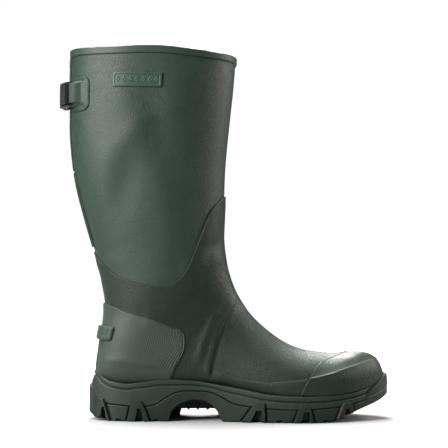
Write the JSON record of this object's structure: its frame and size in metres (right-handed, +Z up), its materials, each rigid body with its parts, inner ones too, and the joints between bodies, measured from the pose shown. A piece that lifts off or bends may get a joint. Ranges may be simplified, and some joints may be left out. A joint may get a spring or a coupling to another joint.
{
  "type": "insulated hunting boot",
  "caption": "Tall green rubber wellington boot for the right foot, insulated, with a rear gusset, adjusting strap and cam buckle, heel kick ledge and lugged sole.",
  "frame": {"origin": "on the ground under the centre of the heel, on the heel's tread", "axes": "+X to the toe, +Y to the inner (medial) side, +Z up the shaft"},
  "size_m": [0.3343, 0.1122, 0.3737],
  "materials": {
    "leg_rubber": "matt moulded",
    "foot_rubber": "matt moulded",
    "band_rubber": "matt moulded",
    "counter_rubber": "fine diamond grip",
    "cap_rubber": "matt, finely textured",
    "plaque_rubber": "satin",
    "strap_rubber": "satin",
    "outsole_rubber": "matt",
    "midsole_foam": "matt",
    "neoprene": "knit faced foam",
    "fleece": "short pile",
    "board": "pressed fibre",
    "footbed_foam": "cloth over foam",
    "steel": "brushed",
    "buckle_plastic": "matt black"
  },
  "bodies": {
    "boot": {"leg_shell": "leg_rubber", "vamp_shell": "foot_rubber", "neoprene_insulation": "neoprene", "fleece_lining": "fleece", "top_band": "band_rubber", "rear_gusset": "foot_rubber", "backstay_strip": "foot_rubber", "heel_counter_patch": "counter_rubber", "kick_lug": "counter_rubber", "toe_cap": "cap_rubber", "rand_outer": "cap_rubber", "rand_inner": "cap_rubber", "strap_patch_outer": "leg_rubber", "strap_patch_inner": "leg_rubber", "side_plaque": "plaque_rubber", "heel_stiffener": "board", "toe_puff": "board", "insole_board": "board", "shank": "steel", "midsole": "midsole_foam", "outsole": "outsole_rubber", "adjusting_strap": "strap_rubber", "buckle_chape": "strap_rubber", "buckle_frame": "buckle_plastic", "lever_axle": "steel"},
    "lever": {"cam_lever": "buckle_plastic"},
    "keeper": {"strap_keeper": "strap_rubber"},
    "insert": {"footbed": "footbed_foam"}
  },
  "joints": [
    {"name": "lever_hinge", "type": "hinge", "parent": "boot", "child": "lever", "pos_m": [-0.0797, -0.01017, 0.326], "axis": [0, 0, -1], "range_deg": [0, 95]},
    {"name": "keeper_slide", "type": "slide", "parent": "boot", "child": "keeper", "axis": [0.9229, 0.3851, 0], "range_m": [-0.005, 0.005]},
    {"name": "footbed_lift", "type": "hinge", "parent": "boot", "child": "insert", "pos_m": [0.226, 0, 0.034], "axis": [0, 1, 0], "range_deg": [0, 5]}
  ]
}
